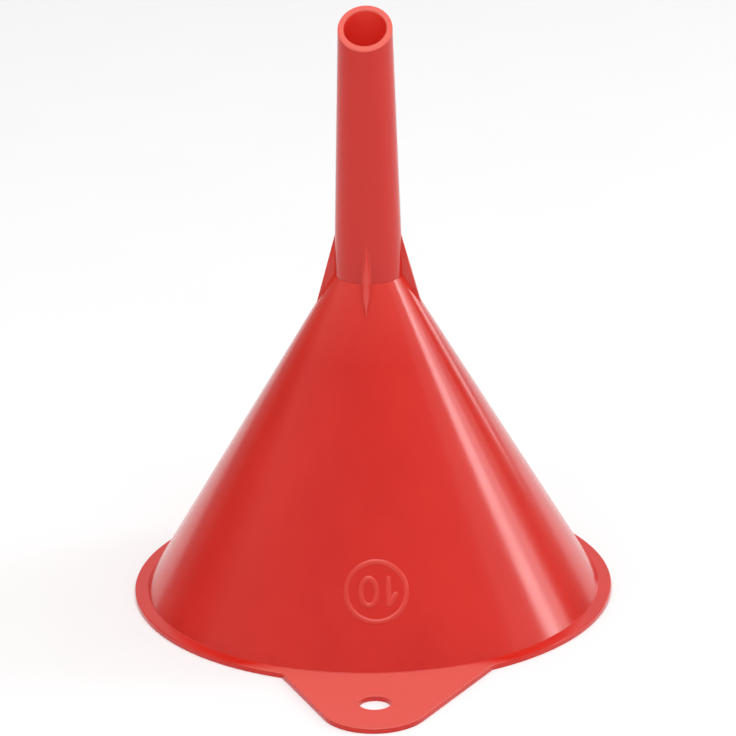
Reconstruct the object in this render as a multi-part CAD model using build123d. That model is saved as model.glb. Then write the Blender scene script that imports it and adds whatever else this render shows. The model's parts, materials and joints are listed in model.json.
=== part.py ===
"""A small kitchen funnel, moulded in one piece: a conical bowl, a rim flange with a hanging tab, a
tapered spout with a slanted tip, four vent ribs at the neck and a ringed size number on the bowl.

Frame, in millimetres: the origin is the centre of the mouth, in the plane of the rim's face. +Z runs
along the axis from the mouth to the spout's tip, and the hanging tab reaches out along -Y. Each
feature of the moulding is its own solid, and they meet face to face.
"""

import os
from math import cos, radians, sin, sqrt, tan

from build123d import *

# Rim
RIM_DIAMETER = 100.0
RIM_WIDTH = 2.1  # from the bowl's outer wall to the rim's edge, in the mouth plane
RIM_THICKNESS = 1.1
RIM_EDGE_ROUND = 0.4

# Bowl
BOWL_HEIGHT = 69.6  # mouth plane to the neck
BOWL_WALL = 1.25  # square to the wall

# Spout
NECK_DIAMETER = 14.1  # outside, where the spout leaves the bowl
TIP_DIAMETER = 11.1  # outside, at the middle of the slanted tip
SPOUT_LENGTH = 52.2  # neck to the middle of the slanted tip
SPOUT_WALL = 1.25
TIP_SLANT = 30.0  # degrees that the tip's face leans from square, low on the front side

# Vent ribs
RIB_COUNT = 4
RIB_NAMES = ("front", "right", "back", "left")
RIB_THICKNESS = 1.5
RIB_TOP_RISE = 8.6  # from the neck up to where the rib's edge line would reach the spout
RIB_SLOPE = 15.2  # degrees between the rib's edge and the axis
RIB_BLEND_RADIUS = 15.0  # the hollow curve that eases the rib's edge into the spout
FEATURE_TURN = -3.5  # degrees that the ribs and the tip's slant are turned from the tab

# Hanging tab
TAB_REACH = 23.4  # beyond the rim's edge
TAB_END_RADIUS = 10.8
TAB_THICKNESS = 1.1
TAB_FLARE = 26.8  # degrees between each side and the tab's centre line
TAB_LEAN = 4.0  # degrees that the tab's centre line leans sideways about its round end
TAB_HOLE_DIAMETER = 6.3
TAB_HOLE_INSET = 1.4  # the hole's centre is nearer to the rim than the round end's centre

# Size mark, a number in a ring that reads with the spout down
MARK_HEIGHT = 15.2  # its centre, above the mouth plane
MARK_TURN = 0.9  # degrees around the bowl from the tab
MARK_RAISE = 0.45
MARK_RING_DIAMETER = 13.4  # outside
MARK_STROKE = 1.0
DIGIT_TALL = 6.5
ZERO_WIDE = 4.4
ZERO_OFFSET = 1.5  # centre of the zero, from the ring's centre
ONE_OFFSET = -2.5  # centre of the one's stem
FLAG_REACH = 1.5  # the one's flag, sideways from its stem
FLAG_DROP = 2.2

RIM_RADIUS = RIM_DIAMETER / 2
NECK_RADIUS = NECK_DIAMETER / 2
TIP_RADIUS = TIP_DIAMETER / 2
BOWL_BASE_RADIUS = RIM_RADIUS - RIM_WIDTH  # outside of the bowl in the mouth plane
BOWL_TAPER = (BOWL_BASE_RADIUS - NECK_RADIUS) / BOWL_HEIGHT  # radius lost for each mm of height
BOWL_WALL_LEVEL = BOWL_WALL * sqrt(1 + BOWL_TAPER**2)  # the same wall, measured level
SPOUT_TAPER = (NECK_RADIUS - TIP_RADIUS) / SPOUT_LENGTH
BORE_NECK_RADIUS = NECK_RADIUS - SPOUT_WALL
TIP_HEIGHT = BOWL_HEIGHT + SPOUT_LENGTH  # middle of the slanted tip
SLANT_RISE = tan(radians(TIP_SLANT))


def bowl_radius(height):
    """Outside radius of the bowl at a height above the mouth plane."""
    return BOWL_BASE_RADIUS - BOWL_TAPER * height


def spout_radius(height):
    """Outside radius of the spout at a height above the mouth plane."""
    return NECK_RADIUS - SPOUT_TAPER * (height - BOWL_HEIGHT)


def turned(points):
    """A solid of revolution about Z from (radius, height) corners."""
    face = make_face(Polyline(*[(r, 0, z) for r, z in points], close=True))
    return revolve(face, Axis.Z)


def bowl_blank(grown=0.0):
    """The bowl's outer form as a solid cone, grown outwards square to its wall."""
    level = grown * sqrt(1 + BOWL_TAPER**2)
    top = (0, BOWL_HEIGHT)
    return turned([(0, 0), (BOWL_BASE_RADIUS + level, 0), (NECK_RADIUS + level, BOWL_HEIGHT), top])


def spout_blank(top):
    """The spout's outer form as a solid taper, from the neck up to a height."""
    low, high = BOWL_HEIGHT, top
    return turned([(0, low), (spout_radius(low), low), (spout_radius(high), high), (0, high)])


def make_bowl():
    """The conical shell, open at the mouth and, at the neck, as wide as the spout's bore."""
    mouth = BOWL_BASE_RADIUS - BOWL_WALL_LEVEL
    throat_height = (mouth - BORE_NECK_RADIUS) / BOWL_TAPER
    inner = [(BORE_NECK_RADIUS, throat_height), (mouth, 0)]
    if throat_height < BOWL_HEIGHT:
        inner.insert(0, (BORE_NECK_RADIUS, BOWL_HEIGHT))
    return turned([(BOWL_BASE_RADIUS, 0), (NECK_RADIUS, BOWL_HEIGHT), *inner])


def make_rim():
    """The flat flange around the mouth, with its outer corners eased."""
    inner_low = (bowl_radius(0), 0)
    inner_high = (bowl_radius(RIM_THICKNESS), RIM_THICKNESS)
    ring = turned([inner_low, (RIM_RADIUS, 0), (RIM_RADIUS, RIM_THICKNESS), inner_high])
    # The tab butts against the flange's edge, so only the top corner is eased.
    edge = ring.edges().filter_by(GeomType.CIRCLE).group_by(Axis.Z)[-1].sort_by(SortBy.RADIUS)[-1]
    return fillet(edge, min(RIM_EDGE_ROUND, 0.4 * RIM_THICKNESS))


def make_spout():
    """The tapered tube above the neck, its tip cut on the slant."""
    top = TIP_HEIGHT + NECK_DIAMETER * SLANT_RISE
    low = BOWL_HEIGHT
    outer = [(spout_radius(low), low), (spout_radius(top), top)]
    inner = [(radius - SPOUT_WALL, height) for radius, height in reversed(outer)]
    tube = turned(outer + inner)
    span = 4 * NECK_DIAMETER
    above = Pos(0, 0, TIP_HEIGHT) * Rot(TIP_SLANT, 0, 0) * Pos(0, 0, span / 2) * Box(span, span, span)
    return tube - Rot(0, 0, FEATURE_TURN) * above


def make_tab():
    """The flat tab: two straight sides that close in to a round end, with a hole for a hook."""
    end = RIM_RADIUS + TAB_REACH - TAB_END_RADIUS  # centre of the round end
    side = radians(TAB_FLARE)
    touch_x, touch_y = TAB_END_RADIUS * cos(side), -TAB_END_RADIUS * sin(side)
    run = end - 0.8 * RIM_RADIUS  # far enough in to reach under the flange's edge at both sides
    root_x = touch_x + (run - TAB_END_RADIUS * sin(side)) * tan(side)
    outline = Polyline((touch_x, touch_y), (root_x, run), (-root_x, run), (-touch_x, touch_y))
    outline += ThreePointArc((-touch_x, touch_y), (0, -TAB_END_RADIUS), (touch_x, touch_y))
    tab = Pos(0, -end, 0) * Rot(0, 0, -TAB_LEAN) * extrude(make_face(outline), TAB_THICKNESS)
    hole = Pos(0, TAB_HOLE_INSET - end, 0) * Cylinder(TAB_HOLE_DIAMETER / 2, 4 * TAB_THICKNESS)
    return tab - hole - Cylinder(RIM_RADIUS, 4 * TAB_THICKNESS)


def rib_seat(height):
    """Radius just inside the spout's round wall, where the rib's flat edge is lost in it."""
    round_wall = spout_radius(height)
    return round_wall - RIB_THICKNESS**2 / (4 * round_wall)


def make_rib(turn):
    """One thin fin in the corner between spout and bowl, standing on both."""
    slope = tan(radians(RIB_SLOPE))
    top = BOWL_HEIGHT + RIB_TOP_RISE
    foot = (bowl_radius(0) - rib_seat(top) - slope * top) / (BOWL_TAPER - slope)
    foot_radius = bowl_radius(foot)
    tail = top + RIB_BLEND_RADIUS  # past the end of the blend along the spout's side
    core = BORE_NECK_RADIUS  # the fin's inner side, trimmed off by the spout and bowl below
    edge = Polyline((rib_seat(tail), 0, tail), (rib_seat(top), 0, top), (foot_radius, 0, foot))
    eased = fillet(edge.vertices().sort_by(Axis.Z)[1], RIB_BLEND_RADIUS)
    back = Polyline((foot_radius, 0, foot), (core, 0, foot), (core, 0, tail), (rib_seat(tail), 0, tail))
    fin = extrude(make_face(eased + back), RIB_THICKNESS / 2, dir=(0, 1, 0), both=True)
    fin = fin - bowl_blank() - spout_blank(tail + 1)
    return Rot(0, 0, turn - 90) * fin


def mark_place():
    """The plane of the size mark on the bowl's wall, which reads with the spout down."""
    lean = 1 / sqrt(1 + BOWL_TAPER**2)
    turn = radians(MARK_TURN)
    radius = bowl_radius(MARK_HEIGHT)
    centre = (radius * sin(turn), -radius * cos(turn), MARK_HEIGHT)
    across = (-cos(turn), -sin(turn), 0)
    out = (sin(turn) * lean, -cos(turn) * lean, BOWL_TAPER * lean)
    return Plane(origin=centre, x_dir=across, z_dir=out)


def raise_mark(flat):
    """Stand a flat outline on the curved wall, with its face parallel to the wall."""
    reach = MARK_RING_DIAMETER / 4
    block = extrude(mark_place() * flat, reach, both=True)
    return (block & bowl_blank(MARK_RAISE)) - bowl_blank()


def mark_ring():
    """The ring around the number."""
    outer = MARK_RING_DIAMETER / 2
    return Circle(outer) - Circle(outer - MARK_STROKE)


def mark_zero():
    """The number's zero: a band of even width with straight sides and round ends."""
    outer = SlotOverall(DIGIT_TALL, ZERO_WIDE)
    inner = SlotOverall(DIGIT_TALL - 2 * MARK_STROKE, ZERO_WIDE - 2 * MARK_STROKE)
    return Pos(ZERO_OFFSET, 0) * Rot(0, 0, 90) * (outer - inner)


def mark_one():
    """The number's one: a stem and a slanted flag from its head."""
    head = DIGIT_TALL / 2
    near, far = ONE_OFFSET - MARK_STROKE / 2, ONE_OFFSET + MARK_STROKE / 2
    end = near - FLAG_REACH
    stem_and_flag = [
        (far, -head),
        (far, head),
        (near, head),
        (end, head - FLAG_DROP),
        (end, head - FLAG_DROP - MARK_STROKE),
        (near, head - 1.4 * MARK_STROKE),
        (near, -head),
    ]
    return make_face(Polyline(*stem_and_flag, close=True))


parts = {
    "bowl_cone": make_bowl(),
    "rim_flange": make_rim(),
    "spout": make_spout(),
    "hanging_tab": make_tab(),
    "size_mark_ring": raise_mark(mark_ring()),
    "size_mark_one": raise_mark(mark_one()),
    "size_mark_zero": raise_mark(mark_zero()),
}
for index, name in enumerate(RIB_NAMES):
    parts[f"vent_rib_{name}"] = make_rib(FEATURE_TURN + index * 360 / RIB_COUNT)

os.makedirs("parts", exist_ok=True)
for name, solid in parts.items():
    export_step(solid, f"parts/{name}.step")
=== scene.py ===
import json
from math import asin, atan2, cos, hypot, pi, radians, sin, tan

import bmesh
import bpy
from mathutils import Matrix, Vector


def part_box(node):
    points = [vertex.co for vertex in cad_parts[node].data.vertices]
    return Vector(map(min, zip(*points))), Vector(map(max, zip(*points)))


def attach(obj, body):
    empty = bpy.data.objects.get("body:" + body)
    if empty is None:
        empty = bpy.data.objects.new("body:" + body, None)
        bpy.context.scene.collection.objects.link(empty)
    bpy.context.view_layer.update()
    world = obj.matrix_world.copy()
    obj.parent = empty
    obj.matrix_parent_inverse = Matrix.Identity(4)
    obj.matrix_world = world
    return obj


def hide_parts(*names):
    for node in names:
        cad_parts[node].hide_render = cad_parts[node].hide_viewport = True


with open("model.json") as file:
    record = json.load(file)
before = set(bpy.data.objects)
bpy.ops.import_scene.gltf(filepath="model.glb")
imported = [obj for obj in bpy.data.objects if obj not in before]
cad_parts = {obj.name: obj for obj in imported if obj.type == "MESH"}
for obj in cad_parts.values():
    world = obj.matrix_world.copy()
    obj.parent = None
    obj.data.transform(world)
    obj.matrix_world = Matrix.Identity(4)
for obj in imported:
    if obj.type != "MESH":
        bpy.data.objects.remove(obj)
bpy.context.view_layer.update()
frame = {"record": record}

# ------------------------------------------------------------------ the bowl
# The conical bowl of a small kitchen funnel, an even wall of red polypropylene a little over 1 mm
# thick. It is shot between a polished cavity and a tapered steel core, in one piece with all the
# rest of the funnel, and it flares into the rim's face in a small fillet at its foot.

MM = 0.001  # in metres, the unit of the whole frame
ROUND_SIDES = 256

WALL = 1.25 * MM
BOWL_FOOT_FILLET = 0.25 * MM
FOOT_STEPS = 4
MOUTH_EDGE_ROUND = 0.3 * MM
CORNER_TURN = radians(20)  # an edge that turns less than this is a flat join
SMOOTH_TURN = radians(32)  # an edge that turns less than this is shaded round
NEAR = 0.1 * MM  # how near counts as at a place, when corners and faces are picked out

rim_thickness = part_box("rim_flange")[1].z
bowl_base_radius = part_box("bowl_cone")[1].x
neck_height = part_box("bowl_cone")[1].z
neck_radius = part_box("spout")[1].x
bowl_taper = (bowl_base_radius - neck_radius) / neck_height
wall_lean = atan2(bowl_taper, 1)  # between the bowl's wall and the axis
bore_neck_radius = neck_radius - WALL


def bowl_radius(height):
    """Outside radius of the bowl at a height above the mouth."""
    return bowl_base_radius - bowl_taper * height


def turn_wall(name, profile):
    """A closed wall of revolution: one ring drawn out from corner to corner, then bridged shut."""
    bpy.ops.object.select_all(action="DESELECT")
    radius, height = profile[0]
    bpy.ops.mesh.primitive_circle_add(vertices=ROUND_SIDES, radius=radius, location=(0, 0, height))
    bpy.ops.object.transform_apply(location=True, rotation=True, scale=True)
    piece = bpy.context.object
    piece.name = piece.data.name = name
    bpy.ops.object.mode_set(mode="EDIT")
    bpy.ops.mesh.select_mode(type="EDGE")
    bpy.ops.mesh.select_all(action="SELECT")
    for next_radius, next_height in profile[1:]:
        rise = (0, 0, next_height - height)
        bpy.ops.mesh.extrude_region_move(TRANSFORM_OT_translate={"value": rise})
        spread = next_radius / radius
        bpy.ops.transform.resize(value=(spread, spread, 1), center_override=(0, 0, next_height))
        radius, height = next_radius, next_height
    bridge_open_rings()
    bpy.ops.object.mode_set(mode="OBJECT")
    return piece


def bridge_open_rings():
    """In edit mode, join the two open rings of a wall and point every face outwards."""
    bpy.ops.mesh.select_all(action="DESELECT")
    bpy.ops.mesh.select_non_manifold(use_wire=False, use_multi_face=False,
                                     use_non_contiguous=False, use_verts=False)
    bpy.ops.mesh.bridge_edge_loops()
    bpy.ops.mesh.select_all(action="SELECT")
    bpy.ops.mesh.normals_make_consistent(inside=False)


def ease_edges(piece, wanted, size, steps):
    """Round the corners, not the flat joins, whose two ends both pass the test."""
    bpy.ops.object.select_all(action="DESELECT")
    bpy.context.view_layer.objects.active = piece
    piece.select_set(True)
    bpy.ops.object.mode_set(mode="EDIT")
    bpy.ops.mesh.select_mode(type="EDGE")
    bpy.ops.mesh.select_all(action="DESELECT")
    shape = bmesh.from_edit_mesh(piece.data)
    for edge in shape.edges:
        turned = edge.calc_face_angle(0) > CORNER_TURN
        edge.select_set(turned and all(wanted(corner.co) for corner in edge.verts))
    bmesh.update_edit_mesh(piece.data)
    bpy.ops.mesh.bevel(offset=size, segments=steps, affect="EDGES")
    bpy.ops.object.mode_set(mode="OBJECT")


def smooth_faces(piece):
    """Shade round faces smooth, and keep corners crisp and flat faces flat."""
    bpy.ops.object.select_all(action="DESELECT")
    bpy.context.view_layer.objects.active = piece
    piece.select_set(True)
    bpy.ops.object.shade_smooth_by_angle(angle=SMOOTH_TURN)
    bpy.ops.object.modifier_add(type="WEIGHTED_NORMAL")
    piece.modifiers[-1].keep_sharp = True
    bpy.ops.object.modifier_apply(modifier=piece.modifiers[-1].name)


# The foot's fillet: an arc that leaves the rim's face level and ends along the wall.
foot_turn = pi / 2 - wall_lean
foot_reach = BOWL_FOOT_FILLET * tan(foot_turn / 2)
foot_radius = bowl_radius(rim_thickness) + foot_reach
foot_centre = rim_thickness + BOWL_FOOT_FILLET
foot_arc = []
for step in range(FOOT_STEPS + 1):
    turn = foot_turn * step / FOOT_STEPS
    foot_arc.append((foot_radius - BOWL_FOOT_FILLET * sin(turn),
                     foot_centre - BOWL_FOOT_FILLET * cos(turn)))

wall_level = WALL / cos(wall_lean)  # the wall measured level
mouth_radius = bowl_base_radius - wall_level
throat_height = (mouth_radius - bore_neck_radius) / bowl_taper
sunk = 0.1 * rim_thickness  # how far the foot reaches into the rim below it
bowl = turn_wall("bowl", [
    (mouth_radius, 0),
    (bowl_base_radius, 0),
    (bowl_radius(rim_thickness - sunk), rim_thickness - sunk),
    (foot_radius + 2 * sunk, rim_thickness - sunk),
    *foot_arc,
    (neck_radius, neck_height),
    (bore_neck_radius, neck_height),
    (bore_neck_radius, throat_height),
])
ease_edges(bowl, lambda at: at.z < NEAR and hypot(at.x, at.y) < mouth_radius + NEAR,
           MOUTH_EDGE_ROUND, steps=4)
smooth_faces(bowl)


def hex_colour(code):
    """The linear colour of an sRGB hex value."""
    shares = [int(code[i:i + 2], 16) / 255 for i in (0, 2, 4)]
    return [s / 12.92 if s <= 0.04045 else ((s + 0.055) / 1.055) ** 2.4 for s in shares] + [1.0]


def add_node(material, kind, settings=None, values=None, links=None):
    """Add one node: its settings, the values of its sockets, and what is linked into them."""
    node = material.node_tree.nodes.new(kind)
    for name, value in (settings or {}).items():
        setattr(node, name, value)
    for socket, value in (values or {}).items():
        node.inputs[socket].default_value = value
    for socket, source in (links or {}).items():
        material.node_tree.links.new(source, node.inputs[socket])
    return node


# Polypropylene moulded against a polished cavity: a deep, slightly orange red with a wet gloss.
# The melt's flow leaves the pigment a touch uneven, the thin wall is faintly wavy, the skin has a
# fine orange peel, and handling leaves soft rubbed patches that dull the gloss a little.
FLOW_STREAK = 14 * MM  # width of a streak of pigment
WALL_WAVE = 22 * MM
PEEL_GRAIN = 1.3 * MM  # a real peel is about 0.5 mm, which is too fine to show
RUB_PATCH = 9 * MM
RUB_GRAIN = 0.9 * MM
PLASTIC_IOR = 1.49
STREAK_STOPS = (0.35, 0.65)  # where on the flow's noise a streak begins and is full
WALL_REDS = ("D11D10", "D72314")  # between the streaks and in them

gloss_red = bpy.data.materials.new("polypropylene_moulded_polished_red")
gloss_red.use_nodes = True
gloss_red.node_tree.nodes.clear()
place = add_node(gloss_red, "ShaderNodeTexCoord").outputs["Object"]
drawn_out = add_node(gloss_red, "ShaderNodeMapping", values={"Scale": (1, 1, 0.3)},
                     links={"Vector": place}).outputs["Vector"]
flow = add_node(gloss_red, "ShaderNodeTexNoise", values={"Scale": 1 / FLOW_STREAK, "Detail": 3.0},
                links={"Vector": drawn_out}).outputs["Fac"]
pigment = add_node(gloss_red, "ShaderNodeValToRGB", links={"Fac": flow})
for stop, position, red in zip(pigment.color_ramp.elements, STREAK_STOPS, WALL_REDS):
    stop.position = position
    stop.color = hex_colour(red)
patches = add_node(gloss_red, "ShaderNodeTexNoise", values={"Scale": 1 / RUB_PATCH, "Detail": 2.0},
                   links={"Vector": place}).outputs["Fac"]
grain = add_node(gloss_red, "ShaderNodeTexNoise", values={"Scale": 1 / RUB_GRAIN, "Detail": 4.0},
                 links={"Vector": place}).outputs["Fac"]
rubbed = add_node(gloss_red, "ShaderNodeMath", {"operation": "MULTIPLY"},
                  links={0: patches, 1: grain}).outputs["Value"]
dullness = add_node(gloss_red, "ShaderNodeMapRange",
                    values={"From Min": 0.15, "From Max": 0.45, "To Min": 0.13, "To Max": 0.2},
                    links={"Value": rubbed}).outputs["Result"]
wave = add_node(gloss_red, "ShaderNodeTexNoise", values={"Scale": 1 / WALL_WAVE, "Detail": 1.0},
                links={"Vector": place}).outputs["Fac"]
wavy = add_node(gloss_red, "ShaderNodeBump", values={"Strength": 0.25, "Distance": 0.12 * MM},
                links={"Height": wave}).outputs["Normal"]
peel = add_node(gloss_red, "ShaderNodeTexNoise", values={"Scale": 1 / PEEL_GRAIN, "Detail": 2.0},
                links={"Vector": place}).outputs["Fac"]
skin = add_node(gloss_red, "ShaderNodeBump", values={"Strength": 0.12, "Distance": 0.01 * MM},
                links={"Height": peel, "Normal": wavy}).outputs["Normal"]
surface = add_node(gloss_red, "ShaderNodeBsdfPrincipled", values={"IOR": PLASTIC_IOR},
                   links={"Base Color": pigment.outputs["Color"], "Roughness": dullness,
                          "Normal": skin}).outputs["BSDF"]
add_node(gloss_red, "ShaderNodeOutputMaterial", links={"Surface": surface})

# Painted highlight: the bowl and ribs are painted paler towards the neck, and palest at it and above.
PAINTED_HIGHLIGHT_REACH = 15 * MM

red_with_painted_highlight = gloss_red.copy()
red_with_painted_highlight.name = "polypropylene_moulded_polished_red_with_painted_highlight"
nodes = red_with_painted_highlight.node_tree.nodes
height = add_node(red_with_painted_highlight, "ShaderNodeSeparateXYZ",
                  links={"Vector": nodes["Texture Coordinate"].outputs["Object"]}).outputs["Z"]
painted_highlight_share = add_node(red_with_painted_highlight, "ShaderNodeMapRange",
                values={"From Min": neck_height - PAINTED_HIGHLIGHT_REACH, "From Max": neck_height},
                links={"Value": height}).outputs["Result"]
# A colour mix takes its share in socket 0 and its colours in 6 and 7, and gives the mix in output 2.
# DD362A is the painted highlight's paler red, taken in full at the neck.
painted_highlight_red = add_node(red_with_painted_highlight, "ShaderNodeMix", {"data_type": "RGBA"}, {7: hex_colour("DD362A")},
                 {0: painted_highlight_share, 6: nodes["Color Ramp"].outputs["Color"]}).outputs[2]
red_with_painted_highlight.node_tree.links.new(painted_highlight_red, nodes["Principled BSDF"].inputs["Base Color"])

# The inner faces took their skin from the steel core, which is blasted, not polished, so that the
# moulding lets go. Their brighter, warmer red is painted light, for light that comes through the wall.
CORE_GRAIN = 0.5 * MM  # the real texture is finer than can be shown
CORE_REDS_PAINTED_GLOW = ("FA3626", "FE3A2A")

core_red_painted_glow = bpy.data.materials.new("polypropylene_moulded_core_side_red_painted_glow")
core_red_painted_glow.use_nodes = True
core_red_painted_glow.node_tree.nodes.clear()
place = add_node(core_red_painted_glow, "ShaderNodeTexCoord").outputs["Object"]
flow = add_node(core_red_painted_glow, "ShaderNodeTexNoise", values={"Scale": 1 / FLOW_STREAK, "Detail": 3.0},
                links={"Vector": place}).outputs["Fac"]
pigment = add_node(core_red_painted_glow, "ShaderNodeValToRGB", links={"Fac": flow})
for stop, position, red in zip(pigment.color_ramp.elements, STREAK_STOPS, CORE_REDS_PAINTED_GLOW):
    stop.position = position
    stop.color = hex_colour(red)
grain = add_node(core_red_painted_glow, "ShaderNodeTexNoise", values={"Scale": 1 / CORE_GRAIN, "Detail": 4.0},
                 links={"Vector": place}).outputs["Fac"]
blasted = add_node(core_red_painted_glow, "ShaderNodeBump", values={"Strength": 0.2, "Distance": 0.01 * MM},
                   links={"Height": grain}).outputs["Normal"]
surface = add_node(core_red_painted_glow, "ShaderNodeBsdfPrincipled", values={"IOR": PLASTIC_IOR, "Roughness": 0.55},
                   links={"Base Color": pigment.outputs["Color"],
                          "Normal": blasted}).outputs["BSDF"]
add_node(core_red_painted_glow, "ShaderNodeOutputMaterial", links={"Surface": surface})

INWARD = 0.5  # the least share of a face's direction that points to the axis


def skin_wall(piece, outside):
    """A polished red outside, and the core's duller red with painted glow on faces that look to the
    axis.
    """
    piece.data.materials.append(outside)
    piece.data.materials.append(core_red_painted_glow)
    for face in piece.data.polygons:
        inward = -(face.normal.x * face.center.x + face.normal.y * face.center.y)
        if inward > INWARD * hypot(face.center.x, face.center.y):
            face.material_index = 1


skin_wall(bowl, red_with_painted_highlight)
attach(bowl, "root")
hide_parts("bowl_cone")

# ------------------------------------------------------------------ rim and hanging tab
# A flat flange round the mouth stiffens the bowl, and a tab runs out from it, flush with it above
# and below, with a hole for a hook. The mould parts at the flat underside, so the lower edges are
# nearly sharp, and the upper ones are rounded by the cavity.

TAB_FLARE = radians(26.8)  # between each side and the tab's centre line
TAB_LEAN = radians(4.0)  # how far the centre line leans sideways, about the round end
TAB_END_RADIUS = 10.8 * MM
TOP_EDGE_ROUND = 0.3 * MM
PARTING_EDGE_ROUND = 0.1 * MM
TAB_END_SIDES = 96
HOLE_SIDES = 64
WELD = 0.12 * MM  # corners that the cuts leave nearer to each other than this become one
FLAT_TURN = radians(0.2)  # faces that turn less than this from each other become one
ON_FACE = 0.02 * MM  # how near to a flat face's plane counts as on it
WALL_MARGIN = 0.3 * MM  # past the bowl's wall, which leaves out the corners round the mouth

rim_radius = -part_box("rim_flange")[0].x
tab_end = -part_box("hanging_tab")[0].y - TAB_END_RADIUS  # centre of the round end
hook_hole = next(at for at in frame["record"]["mounts"] if at["name"] == "hanging_hole")
half_thick = rim_thickness / 2


def add_disc(radius, sides, along=0.0):
    """A flat round blank, as thick as the rim, at a place along the tab."""
    bpy.ops.object.select_all(action="DESELECT")
    bpy.ops.mesh.primitive_cylinder_add(vertices=sides, radius=radius, depth=rim_thickness,
                                        location=(0, along, half_thick))
    bpy.ops.object.transform_apply(location=True, rotation=True, scale=True)
    return bpy.context.object


def cut_or_join(piece, tool, operation):
    """Join a tool to the piece or cut the piece with it, and take the tool away."""
    bpy.ops.object.select_all(action="DESELECT")
    bpy.context.view_layer.objects.active = piece
    piece.select_set(True)
    bpy.ops.object.modifier_add(type="BOOLEAN")
    piece.modifiers[-1].operation = operation
    piece.modifiers[-1].solver = "EXACT"
    piece.modifiers[-1].object = tool
    bpy.ops.object.modifier_apply(modifier=piece.modifiers[-1].name)
    bpy.data.objects.remove(tool)


rim = add_disc(rim_radius, ROUND_SIDES)
rim.name = rim.data.name = "rim_and_tab"

# The tab starts as its round end, is cut off square where the sides begin, and is drawn in to the rim.
tab = add_disc(TAB_END_RADIUS, TAB_END_SIDES, -tab_end)
side_start = -tab_end - TAB_END_RADIUS * sin(TAB_FLARE)
side_end = -0.8 * rim_radius  # inside the bowl, so that its corners are cut away with the mouth
bpy.ops.object.mode_set(mode="EDIT")
bpy.ops.mesh.select_mode(type="FACE")
bpy.ops.mesh.select_all(action="SELECT")
bpy.ops.mesh.bisect(plane_co=(0, side_start, 0), plane_no=(0, 1, 0), use_fill=True, clear_outer=True)
shape = bmesh.from_edit_mesh(tab.data)
for face in shape.faces:
    face.select_set(face.normal.y > 0.99 and face.calc_center_median().y > side_start - NEAR)
bmesh.update_edit_mesh(tab.data)
draw_in = side_end - side_start
bpy.ops.mesh.extrude_region_move(TRANSFORM_OT_translate={"value": (0, draw_in, 0)})
start_half_width = TAB_END_RADIUS * cos(TAB_FLARE)
widen = 1 + draw_in * tan(TAB_FLARE) / start_half_width
bpy.ops.transform.resize(value=(widen, 1, 1), center_override=(0, side_end, half_thick))
bpy.ops.mesh.select_all(action="SELECT")
bpy.ops.mesh.normals_make_consistent(inside=False)
bpy.ops.object.mode_set(mode="OBJECT")
about_end = Matrix.Translation((0, -tab_end, 0))
tab.data.transform(about_end @ Matrix.Rotation(-TAB_LEAN, 4, "Z") @ about_end.inverted())
cut_or_join(rim, tab, "UNION")

hole = add_disc(hook_hole["dims"]["r_mm"] * MM, HOLE_SIDES, hook_hole["pos_m"][1])
hole.scale.z = 3  # past both faces of the tab
cut_or_join(rim, hole, "DIFFERENCE")

# The mouth is cut by a cone that follows the bowl's outer wall, a rim's thickness past both faces.
bpy.ops.object.select_all(action="DESELECT")
bpy.ops.mesh.primitive_cone_add(vertices=ROUND_SIDES, radius1=bowl_radius(-rim_thickness),
                                radius2=bowl_radius(2 * rim_thickness), depth=3 * rim_thickness,
                                location=(0, 0, half_thick))
cut_or_join(rim, bpy.context.object, "DIFFERENCE")

bpy.ops.object.select_all(action="DESELECT")
rim.select_set(True)
bpy.ops.object.mode_set(mode="EDIT")
bpy.ops.mesh.select_all(action="SELECT")
bpy.ops.mesh.remove_doubles(threshold=WELD)
bpy.ops.mesh.dissolve_limited(angle_limit=FLAT_TURN)
bpy.ops.object.mode_set(mode="OBJECT")


def outer_edge_at(height):
    """A test for corners on the outline or the hole, at one height."""
    inside = bowl_base_radius + WALL_MARGIN
    return lambda at: abs(at.z - height) < ON_FACE and hypot(at.x, at.y) > inside


ease_edges(rim, outer_edge_at(rim_thickness), TOP_EDGE_ROUND, steps=6)
ease_edges(rim, outer_edge_at(0), PARTING_EDGE_ROUND, steps=2)
smooth_faces(rim)

# The same polypropylene, but the cavity is spark-eroded over the tab's top, for grip. The flange
# keeps the polish, and fades over a few millimetres into a fine satin that scatters the light.
SATIN_START = -41 * MM  # how far out along the tab the satin begins, and where it is full
SATIN_FULL = -44.5 * MM
SATIN_GRAIN = 0.5 * MM  # the real texture is about 0.05 mm, which is too fine to show

satin_red = bpy.data.materials.new("polypropylene_moulded_satin_red")
satin_red.use_nodes = True
satin_red.node_tree.nodes.clear()
place = add_node(satin_red, "ShaderNodeTexCoord").outputs["Object"]
along = add_node(satin_red, "ShaderNodeSeparateXYZ", links={"Vector": place}).outputs["Y"]
flow = add_node(satin_red, "ShaderNodeTexNoise", values={"Scale": 1 / FLOW_STREAK, "Detail": 3.0},
                links={"Vector": place}).outputs["Fac"]
pigment = add_node(satin_red, "ShaderNodeValToRGB", links={"Fac": flow})
for stop, position, red in zip(pigment.color_ramp.elements, STREAK_STOPS, WALL_REDS):
    stop.position = position
    stop.color = hex_colour(red)
texture = add_node(satin_red, "ShaderNodeMapRange",
                   values={"From Min": SATIN_START, "From Max": SATIN_FULL},
                   links={"Value": along}).outputs["Result"]
haze = add_node(satin_red, "ShaderNodeMix", {"data_type": "RGBA"}, {7: hex_colour("E15A50")},
                {0: texture, 6: pigment.outputs["Color"]}).outputs[2]
satin = add_node(satin_red, "ShaderNodeMapRange", values={"To Min": 0.2, "To Max": 0.45},
                 links={"Value": texture}).outputs["Result"]
grain = add_node(satin_red, "ShaderNodeTexNoise", values={"Scale": 1 / SATIN_GRAIN, "Detail": 4.0},
                 links={"Vector": place}).outputs["Fac"]
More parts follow.
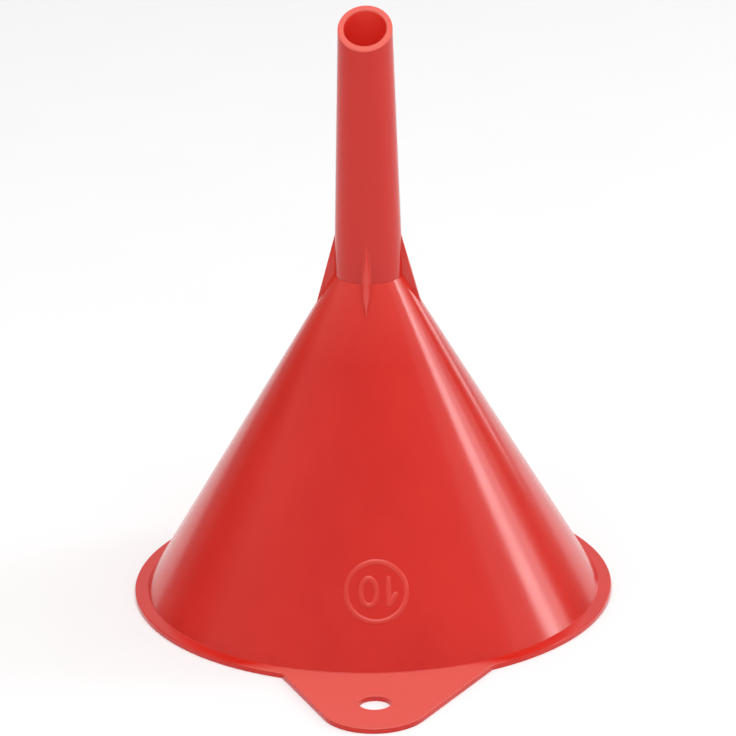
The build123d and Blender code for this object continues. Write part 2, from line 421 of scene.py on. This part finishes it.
eroded = add_node(satin_red, "ShaderNodeBump", values={"Strength": 0.2, "Distance": 0.01 * MM},
                  links={"Height": grain}).outputs["Normal"]
surface = add_node(satin_red, "ShaderNodeBsdfPrincipled", values={"IOR": PLASTIC_IOR},
                   links={"Base Color": haze, "Roughness": satin,
                          "Normal": eroded}).outputs["BSDF"]
add_node(satin_red, "ShaderNodeOutputMaterial", links={"Surface": surface})

rim.data.materials.append(satin_red)
rim.data.materials.append(gloss_red)
for face in rim.data.polygons:
    looks_up = face.normal.z > 0.5
    face.material_index = 0 if looks_up else 1
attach(rim, "root")
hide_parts("rim_flange", "hanging_tab")

# ------------------------------------------------------------------ the spout
# The tapered tube that goes into a bottle's neck. It grows straight out of the bowl, where the
# joint of the mould's two blocks leaves a fine line in the corner. Its tip is cut on the slant so
# that drops run off, and the lip is eased.

TIP_SLANT = radians(30.0)
TIP_RADIUS = 5.55 * MM
SPOUT_LENGTH = 52.2 * MM
FEATURE_TURN = radians(-3.5)  # the slant and the ribs are turned a little from the tab
LIP_ROUND = 0.25 * MM
JOINT_DEEP = 0.08 * MM
JOINT_TALL = 0.35 * MM

tip_height = neck_height + SPOUT_LENGTH
spout_taper = (neck_radius - TIP_RADIUS) / SPOUT_LENGTH


def spout_radius(height):
    """Outside radius of the spout at a height above the mouth."""
    return neck_radius - spout_taper * (height - neck_height)


blank_top = tip_height + 2 * TIP_RADIUS  # past the slant's highest point
joint_top = neck_height + JOINT_TALL
spout = turn_wall("spout_tube", [
    (bore_neck_radius, neck_height),
    (neck_radius - JOINT_DEEP, neck_height),
    (neck_radius - JOINT_DEEP, joint_top),
    (spout_radius(joint_top), joint_top),
    (spout_radius(blank_top), blank_top),
    (spout_radius(blank_top) - WALL, blank_top),
])
slant_normal = Matrix.Rotation(FEATURE_TURN, 3, "Z") @ Vector((0, -sin(TIP_SLANT), cos(TIP_SLANT)))
slant_centre = Vector((0, 0, tip_height))
bpy.ops.object.mode_set(mode="EDIT")
bpy.ops.mesh.select_all(action="SELECT")
bpy.ops.mesh.bisect(plane_co=slant_centre, plane_no=slant_normal, clear_outer=True)
bridge_open_rings()
bpy.ops.object.mode_set(mode="OBJECT")
ease_edges(spout, lambda at: abs((at - slant_centre).dot(slant_normal)) < ON_FACE,
           LIP_ROUND, steps=4)
smooth_faces(spout)
skin_wall(spout, gloss_red)

# The lip was shut off against a ground face of the mould, so it is satin, and paler than the walls.
LIP_FACING = 0.35  # the least share of a face's direction that points out of the tip

lip_red = core_red_painted_glow.copy()
lip_red.name = "polypropylene_moulded_satin_lip_red"
ramp = lip_red.node_tree.nodes["Color Ramp"].color_ramp
ramp.elements[0].color = hex_colour("E85D4F")
ramp.elements[1].color = hex_colour("EC6153")
spout.data.materials.append(lip_red)
for face in spout.data.polygons:
    from_lip = (slant_centre - face.center).dot(slant_normal)
    if from_lip < LIP_ROUND and face.normal.dot(slant_normal) > LIP_FACING:
        face.material_index = 2
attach(spout, "root")
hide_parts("spout")

# ------------------------------------------------------------------ the vent ribs
# Four thin fins stand in the corner between spout and bowl. They rest on a bottle's lip and hold
# the bowl off it, so that air gets out. Each grows out of both walls in a small fillet, which runs
# out to a point at its two ends, so it is lofted through level sections instead of cut from a block.

RIB_HALF_THICK = 0.75 * MM
RIB_FILLET = 0.3 * MM
RIB_RUN_OUT = 1.3 * MM  # where a fin stands out less than this it is thinner too
RIB_SLOPE = radians(15.2)  # between its edge and the axis
RIB_EDGE_ROUND = 0.25 * MM
RIB_LEAST = 0.01 * MM  # how far it still stands out at its two ends
RIB_SUNK = 0.4 * MM  # how far its root goes into the walls
RIB_STEPS = 10  # sections from each end to the neck
ARC_STEPS = 5
RIB_PLACES = ("front", "right", "back", "left")

rib_low, rib_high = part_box("vent_rib_front")
rib_foot, rib_top = rib_low.z, rib_high.z


def rib_section(height):
    """One level section, as (across, outwards) corners in order round the fin."""
    wall = bowl_radius(height) if height < neck_height else spout_radius(height)
    edge = bowl_radius(rib_foot) - tan(RIB_SLOPE) * (height - rib_foot)
    proud = max(edge - wall, RIB_LEAST)
    half = RIB_HALF_THICK * min(1, proud / RIB_RUN_OUT)
    # Where little of the fin is left, its fillet and rounded corners shrink with it.
    fillet = min(RIB_FILLET, 0.7 * proud)
    corner = min(RIB_EDGE_ROUND, 0.3 * proud, 0.8 * half)
    across = half + fillet
    lean = asin(across / (wall + fillet))
    centre = (wall + fillet) * cos(lean)
    inner = wall - RIB_SUNK
    side = [(inner * sin(lean), inner * cos(lean))]
    start = atan2(-centre, -across) + 2 * pi
    for step in range(ARC_STEPS + 1):
        turn = start + (pi - start) * step / ARC_STEPS
        side.append((across + fillet * cos(turn), centre + fillet * sin(turn)))
    for step in range(ARC_STEPS):
        turn = pi / 2 * step / (ARC_STEPS - 1)
        side.append((half - corner + corner * cos(turn), wall + proud - corner + corner * sin(turn)))
    return side + [(-x, out) for x, out in reversed(side)]


heights = [rib_foot + (neck_height - rib_foot) * sin(pi / 2 * step / RIB_STEPS) ** 2
           for step in range(RIB_STEPS + 1)]
heights += [neck_height + (rib_top - neck_height) * sin(pi / 2 * step / RIB_STEPS) ** 2
            for step in range(1, RIB_STEPS + 1)]
fin = bmesh.new()
rings = [[fin.verts.new((x, -out, height)) for x, out in rib_section(height)] for height in heights]
for low, high in zip(rings, rings[1:]):
    for i in range(len(low)):
        fin.faces.new((low[i - 1], low[i], high[i], high[i - 1]))
fin.faces.new(rings[0])
fin.faces.new(rings[-1])
bmesh.ops.recalc_face_normals(fin, faces=fin.faces)
rib_mesh = bpy.data.meshes.new("vent_rib")
fin.to_mesh(rib_mesh)
fin.free()

for index, where in enumerate(RIB_PLACES):
    rib = bpy.data.objects.new(f"rib_{where}", rib_mesh.copy())
    rib.data.name = rib.name
    bpy.context.collection.objects.link(rib)
    rib.data.transform(Matrix.Rotation(FEATURE_TURN + index * pi / 2, 4, "Z"))
    smooth_faces(rib)
    # The ribs take the bowl's red with its painted highlight towards the neck.
    rib.data.materials.append(red_with_painted_highlight)
    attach(rib, "root")
    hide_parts(f"vent_rib_{where}")

# ------------------------------------------------------------------ the size mark
# A plain size number in a ring, low on the bowl, which reads with the spout down. It was cut into
# the mould with a round-nosed cutter, so each stroke stands up as a round-backed bead on the wall.

STROKE = 1.2 * MM
STROKE_DEEP = 0.75  # the bead's depth as a share of its width
STROKE_SUNK = 0.2 * MM  # its middle, below the wall
MARK_TURN = radians(0.9)
MARK_RING_RADIUS = 6.1 * MM  # to the middle of the stroke, as are the sizes below
ZERO_HALF_WIDE = 1.6 * MM
ZERO_HALF_TALL = 2.75 * MM
ZERO_OFFSET = 1.5 * MM
ONE_OFFSET = -2.5 * MM
ONE_HALF_TALL = 2.65 * MM
FLAG_REACH = 1.4 * MM
FLAG_DROP = 2.1 * MM
MARK_WELD = 0.002 * MM  # corners that the join leaves nearer to each other than this become one
END_TURNS = (radians(85), radians(60), radians(30))  # the steps that round off a stroke's end

mark_low, mark_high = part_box("size_mark_ring")
mark_height = (mark_low.z + mark_high.z) / 2
mark_radius = bowl_radius(mark_height)
mark_bend_radius = mark_radius / cos(wall_lean)


def start_stroke(name):
    """The piece and edit mode for a new stroke, with all of it selected."""
    piece = bpy.context.object
    piece.name = piece.data.name = name
    bpy.ops.object.mode_set(mode="EDIT")
    bpy.ops.mesh.select_mode(type="VERT")
    bpy.ops.mesh.select_all(action="SELECT")
    return piece


def raise_stroke(offset):
    """Give the active wire path its round bead, bend it to the bowl and put it in its place."""
    bpy.ops.object.mode_set(mode="OBJECT")
    bpy.ops.object.convert(target="CURVE")
    piece = bpy.context.object
    piece.data.bevel_depth = STROKE / 2
    piece.data.bevel_resolution = 4
    piece.data.use_fill_caps = True
    path = piece.data.splines[0]
    if not path.use_cyclic_u:
        for step, turn in enumerate(END_TURNS):
            path.points[step].radius = path.points[-1 - step].radius = cos(turn)
    bpy.ops.object.convert(target="MESH")
    piece = bpy.context.object
    piece.data.transform(Matrix.Diagonal((1, 1, STROKE_DEEP, 1)))
    piece.data.transform(Matrix.Translation((offset, 0, -STROKE_SUNK)))
    for corner in piece.data.vertices:
        across = corner.co.x / mark_bend_radius
        out = mark_bend_radius + corner.co.z
        corner.co.x, corner.co.z = out * sin(across), out * cos(across) - mark_bend_radius
    lay = Matrix.Rotation(pi + MARK_TURN, 4, "Z") @ Matrix.Rotation(wall_lean - pi / 2, 4, "X")
    centre = Vector((mark_radius * sin(MARK_TURN), -mark_radius * cos(MARK_TURN), mark_height))
    piece.data.transform(Matrix.Translation(centre) @ lay)
    return piece


bpy.ops.object.select_all(action="DESELECT")
bpy.ops.mesh.primitive_circle_add(vertices=96, radius=MARK_RING_RADIUS)
start_stroke("mark_ring")
ring = raise_stroke(0)

bpy.ops.object.select_all(action="DESELECT")
bpy.ops.mesh.primitive_circle_add(vertices=64, radius=ZERO_HALF_WIDE)
start_stroke("mark_zero")
bpy.ops.transform.resize(value=(1, ZERO_HALF_TALL / ZERO_HALF_WIDE, 1), center_override=(0, 0, 0))
zero = raise_stroke(ZERO_OFFSET)


def straight_stroke(name, start, end):
    """A straight stroke between two places, with its ends rounded off beyond them."""
    along = (end - start).normalized() * STROKE / 2
    stops = [start - along * sin(turn) for turn in END_TURNS] + [start, end]
    stops += [end + along * sin(turn) for turn in reversed(END_TURNS)]
    bpy.ops.object.select_all(action="DESELECT")
    bpy.ops.mesh.primitive_plane_add(size=STROKE, location=(0, 0, 0))
    start_stroke(name)
    bpy.ops.mesh.merge(type="CENTER")
    bpy.ops.transform.translate(value=stops[0])
    for last, stop in zip(stops, stops[1:]):
        bpy.ops.mesh.extrude_region_move(TRANSFORM_OT_translate={"value": stop - last})
    return raise_stroke(ONE_OFFSET)


head = Vector((0, ONE_HALF_TALL, 0))
one = straight_stroke("mark_one", -head, head)
flag = straight_stroke("mark_flag", head, head - Vector((FLAG_REACH, FLAG_DROP, 0)))
cut_or_join(one, flag, "UNION")
bpy.ops.object.mode_set(mode="EDIT")
bpy.ops.mesh.select_all(action="SELECT")
bpy.ops.mesh.remove_doubles(threshold=MARK_WELD)
bpy.ops.object.mode_set(mode="OBJECT")

# The strokes were cut in the mould after it was polished, so they are a little duller than the
# wall round them, and paler.
cut_red = gloss_red.copy()
cut_red.name = "polypropylene_moulded_engraved_red"
ramp = cut_red.node_tree.nodes["Color Ramp"].color_ramp
ramp.elements[0].color = hex_colour("D93428")
ramp.elements[1].color = hex_colour("E03C30")
roughness = cut_red.node_tree.nodes["Map Range"]
roughness.inputs["To Min"].default_value = 0.28
roughness.inputs["To Max"].default_value = 0.36

for mark, node in ((ring, "size_mark_ring"), (zero, "size_mark_zero"), (one, "size_mark_one")):
    smooth_faces(mark)
    mark.data.materials.append(cut_red)
    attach(mark, "root")
    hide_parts(node)

# ------------------------------------------------------------------ floor, light and camera
# A plain white sheet of matt paper in a pale room. A large soft box hangs overhead and a low one
# stands in front. At the right, three tall ones fade towards the back, with a weak one at each side.

FLOOR_SIZE = 1.8
FLOOR_DROP = 0.02 * MM  # below the rim, so that the two flat faces never lie in one plane
PAPER_CLOUD = 40 * MM  # the paper's faint cloudiness, as its fibres are too fine to show
bpy.ops.object.select_all(action="DESELECT")
bpy.ops.mesh.primitive_plane_add(size=FLOOR_SIZE, location=(0, 0, -FLOOR_DROP))
floor = bpy.context.object
floor.name = "floor"
paper = bpy.data.materials.new("matt_white_paper")
paper.use_nodes = True
paper.node_tree.nodes.clear()
paper_place = add_node(paper, "ShaderNodeTexCoord").outputs["Object"]
cloud = add_node(paper, "ShaderNodeTexNoise", values={"Scale": 1 / PAPER_CLOUD, "Detail": 3.0},
                 links={"Vector": paper_place}).outputs["Fac"]
white = add_node(paper, "ShaderNodeValToRGB", links={"Fac": cloud})
white.color_ramp.elements[0].color = hex_colour("F8F8F8")
white.color_ramp.elements[1].color = hex_colour("FBFBFB")
matt = add_node(paper, "ShaderNodeBsdfPrincipled",
                values={"Roughness": 0.9, "Specular IOR Level": 0.1},
                links={"Base Color": white.outputs["Color"]}).outputs["BSDF"]
add_node(paper, "ShaderNodeOutputMaterial", links={"Surface": matt})
floor.data.materials.append(paper)

LIGHT_AIM = Vector((0, 0, 0.05))


def add_soft_box(name, round_to, up, away, wide, tall, power):
    """A soft box, at angles round to the right from the viewer and up, turned to the funnel."""
    turn, rise = radians(round_to), radians(up)
    towards = Vector((sin(turn) * cos(rise), -cos(turn) * cos(rise), sin(rise)))
    spot = LIGHT_AIM + towards * away
    facing = towards.to_track_quat("Z", "Y").to_euler()
    bpy.ops.object.light_add(type="AREA", location=spot, rotation=facing)
    box = bpy.context.object
    box.name = box.data.name = name
    box.data.shape = "RECTANGLE"
    box.data.size, box.data.size_y = wide, tall
    box.data.energy = power
    return box


# Degrees round to the right and up, then distance, width and height in metres, and watts.
add_soft_box("light_overhead", 0, 78, 1.4, 1.25, 1.25, 12.8)
add_soft_box("light_front", -5, 7, 1.7, 0.5, 0.3, 1.0)
add_soft_box("light_side_front", 84, 24, 1.2, 0.35, 0.5, 0.2)
add_soft_box("light_side_near", 99.5, 19, 1.2, 0.17, 0.45, 1.6)
add_soft_box("light_side_middle", 108, 19, 1.2, 0.19, 0.45, 0.75)
add_soft_box("light_side_far", 117.5, 19, 1.2, 0.21, 0.45, 0.25)
add_soft_box("light_side_back", 143, 6, 1.2, 0.36, 0.22, 0.5)

# How bright the room is, from low down to overhead, by the share of straight up.
ROOM_GLOW = ((0.05, 0.35), (0.18, 0.2), (0.26, 0.3), (0.38, 0.7), (0.55, 0.65), (0.66, 0.52))

world = bpy.data.worlds.new("pale_room")
bpy.context.scene.world = world
world.use_nodes = True
world.node_tree.nodes.clear()
sky = add_node(world, "ShaderNodeTexCoord").outputs["Generated"]
rise = add_node(world, "ShaderNodeSeparateXYZ", links={"Vector": sky}).outputs["Z"]
glow = add_node(world, "ShaderNodeValToRGB", links={"Fac": rise})
glow.color_ramp.interpolation = "EASE"
for up, strength in ROOM_GLOW:
    glow.color_ramp.elements.new(up).color = (strength, strength, strength, 1)
# The two stops that a new ramp comes with are taken away.
for end in (glow.color_ramp.elements[-1], glow.color_ramp.elements[0]):
    glow.color_ramp.elements.remove(end)
room = add_node(world, "ShaderNodeBackground", links={"Color": glow.outputs["Color"]})
room = room.outputs["Background"]
add_node(world, "ShaderNodeOutputWorld", links={"Surface": room})

# A long lens looks down a little from in front, and is tipped very slightly.
CAMERA_PLACE = (0, -0.86332, 0.36904)
CAMERA_DOWN = radians(20.349)
CAMERA_AIM_TURN = radians(0.0275)
CAMERA_TIP = radians(-0.848)
SENSOR = 36.0  # in millimetres, as the lens is
LENS = 218.07

aim = (Matrix.Rotation(CAMERA_AIM_TURN, 3, "Z") @ Matrix.Rotation(pi / 2 - CAMERA_DOWN, 3, "X")
       @ Matrix.Rotation(CAMERA_TIP, 3, "Z"))
bpy.ops.object.camera_add(location=CAMERA_PLACE, rotation=aim.to_euler())
camera = bpy.context.object
camera.data.sensor_width = SENSOR
camera.data.lens = LENS
bpy.context.scene.camera = camera
bpy.context.scene.view_settings.view_transform = "Standard"
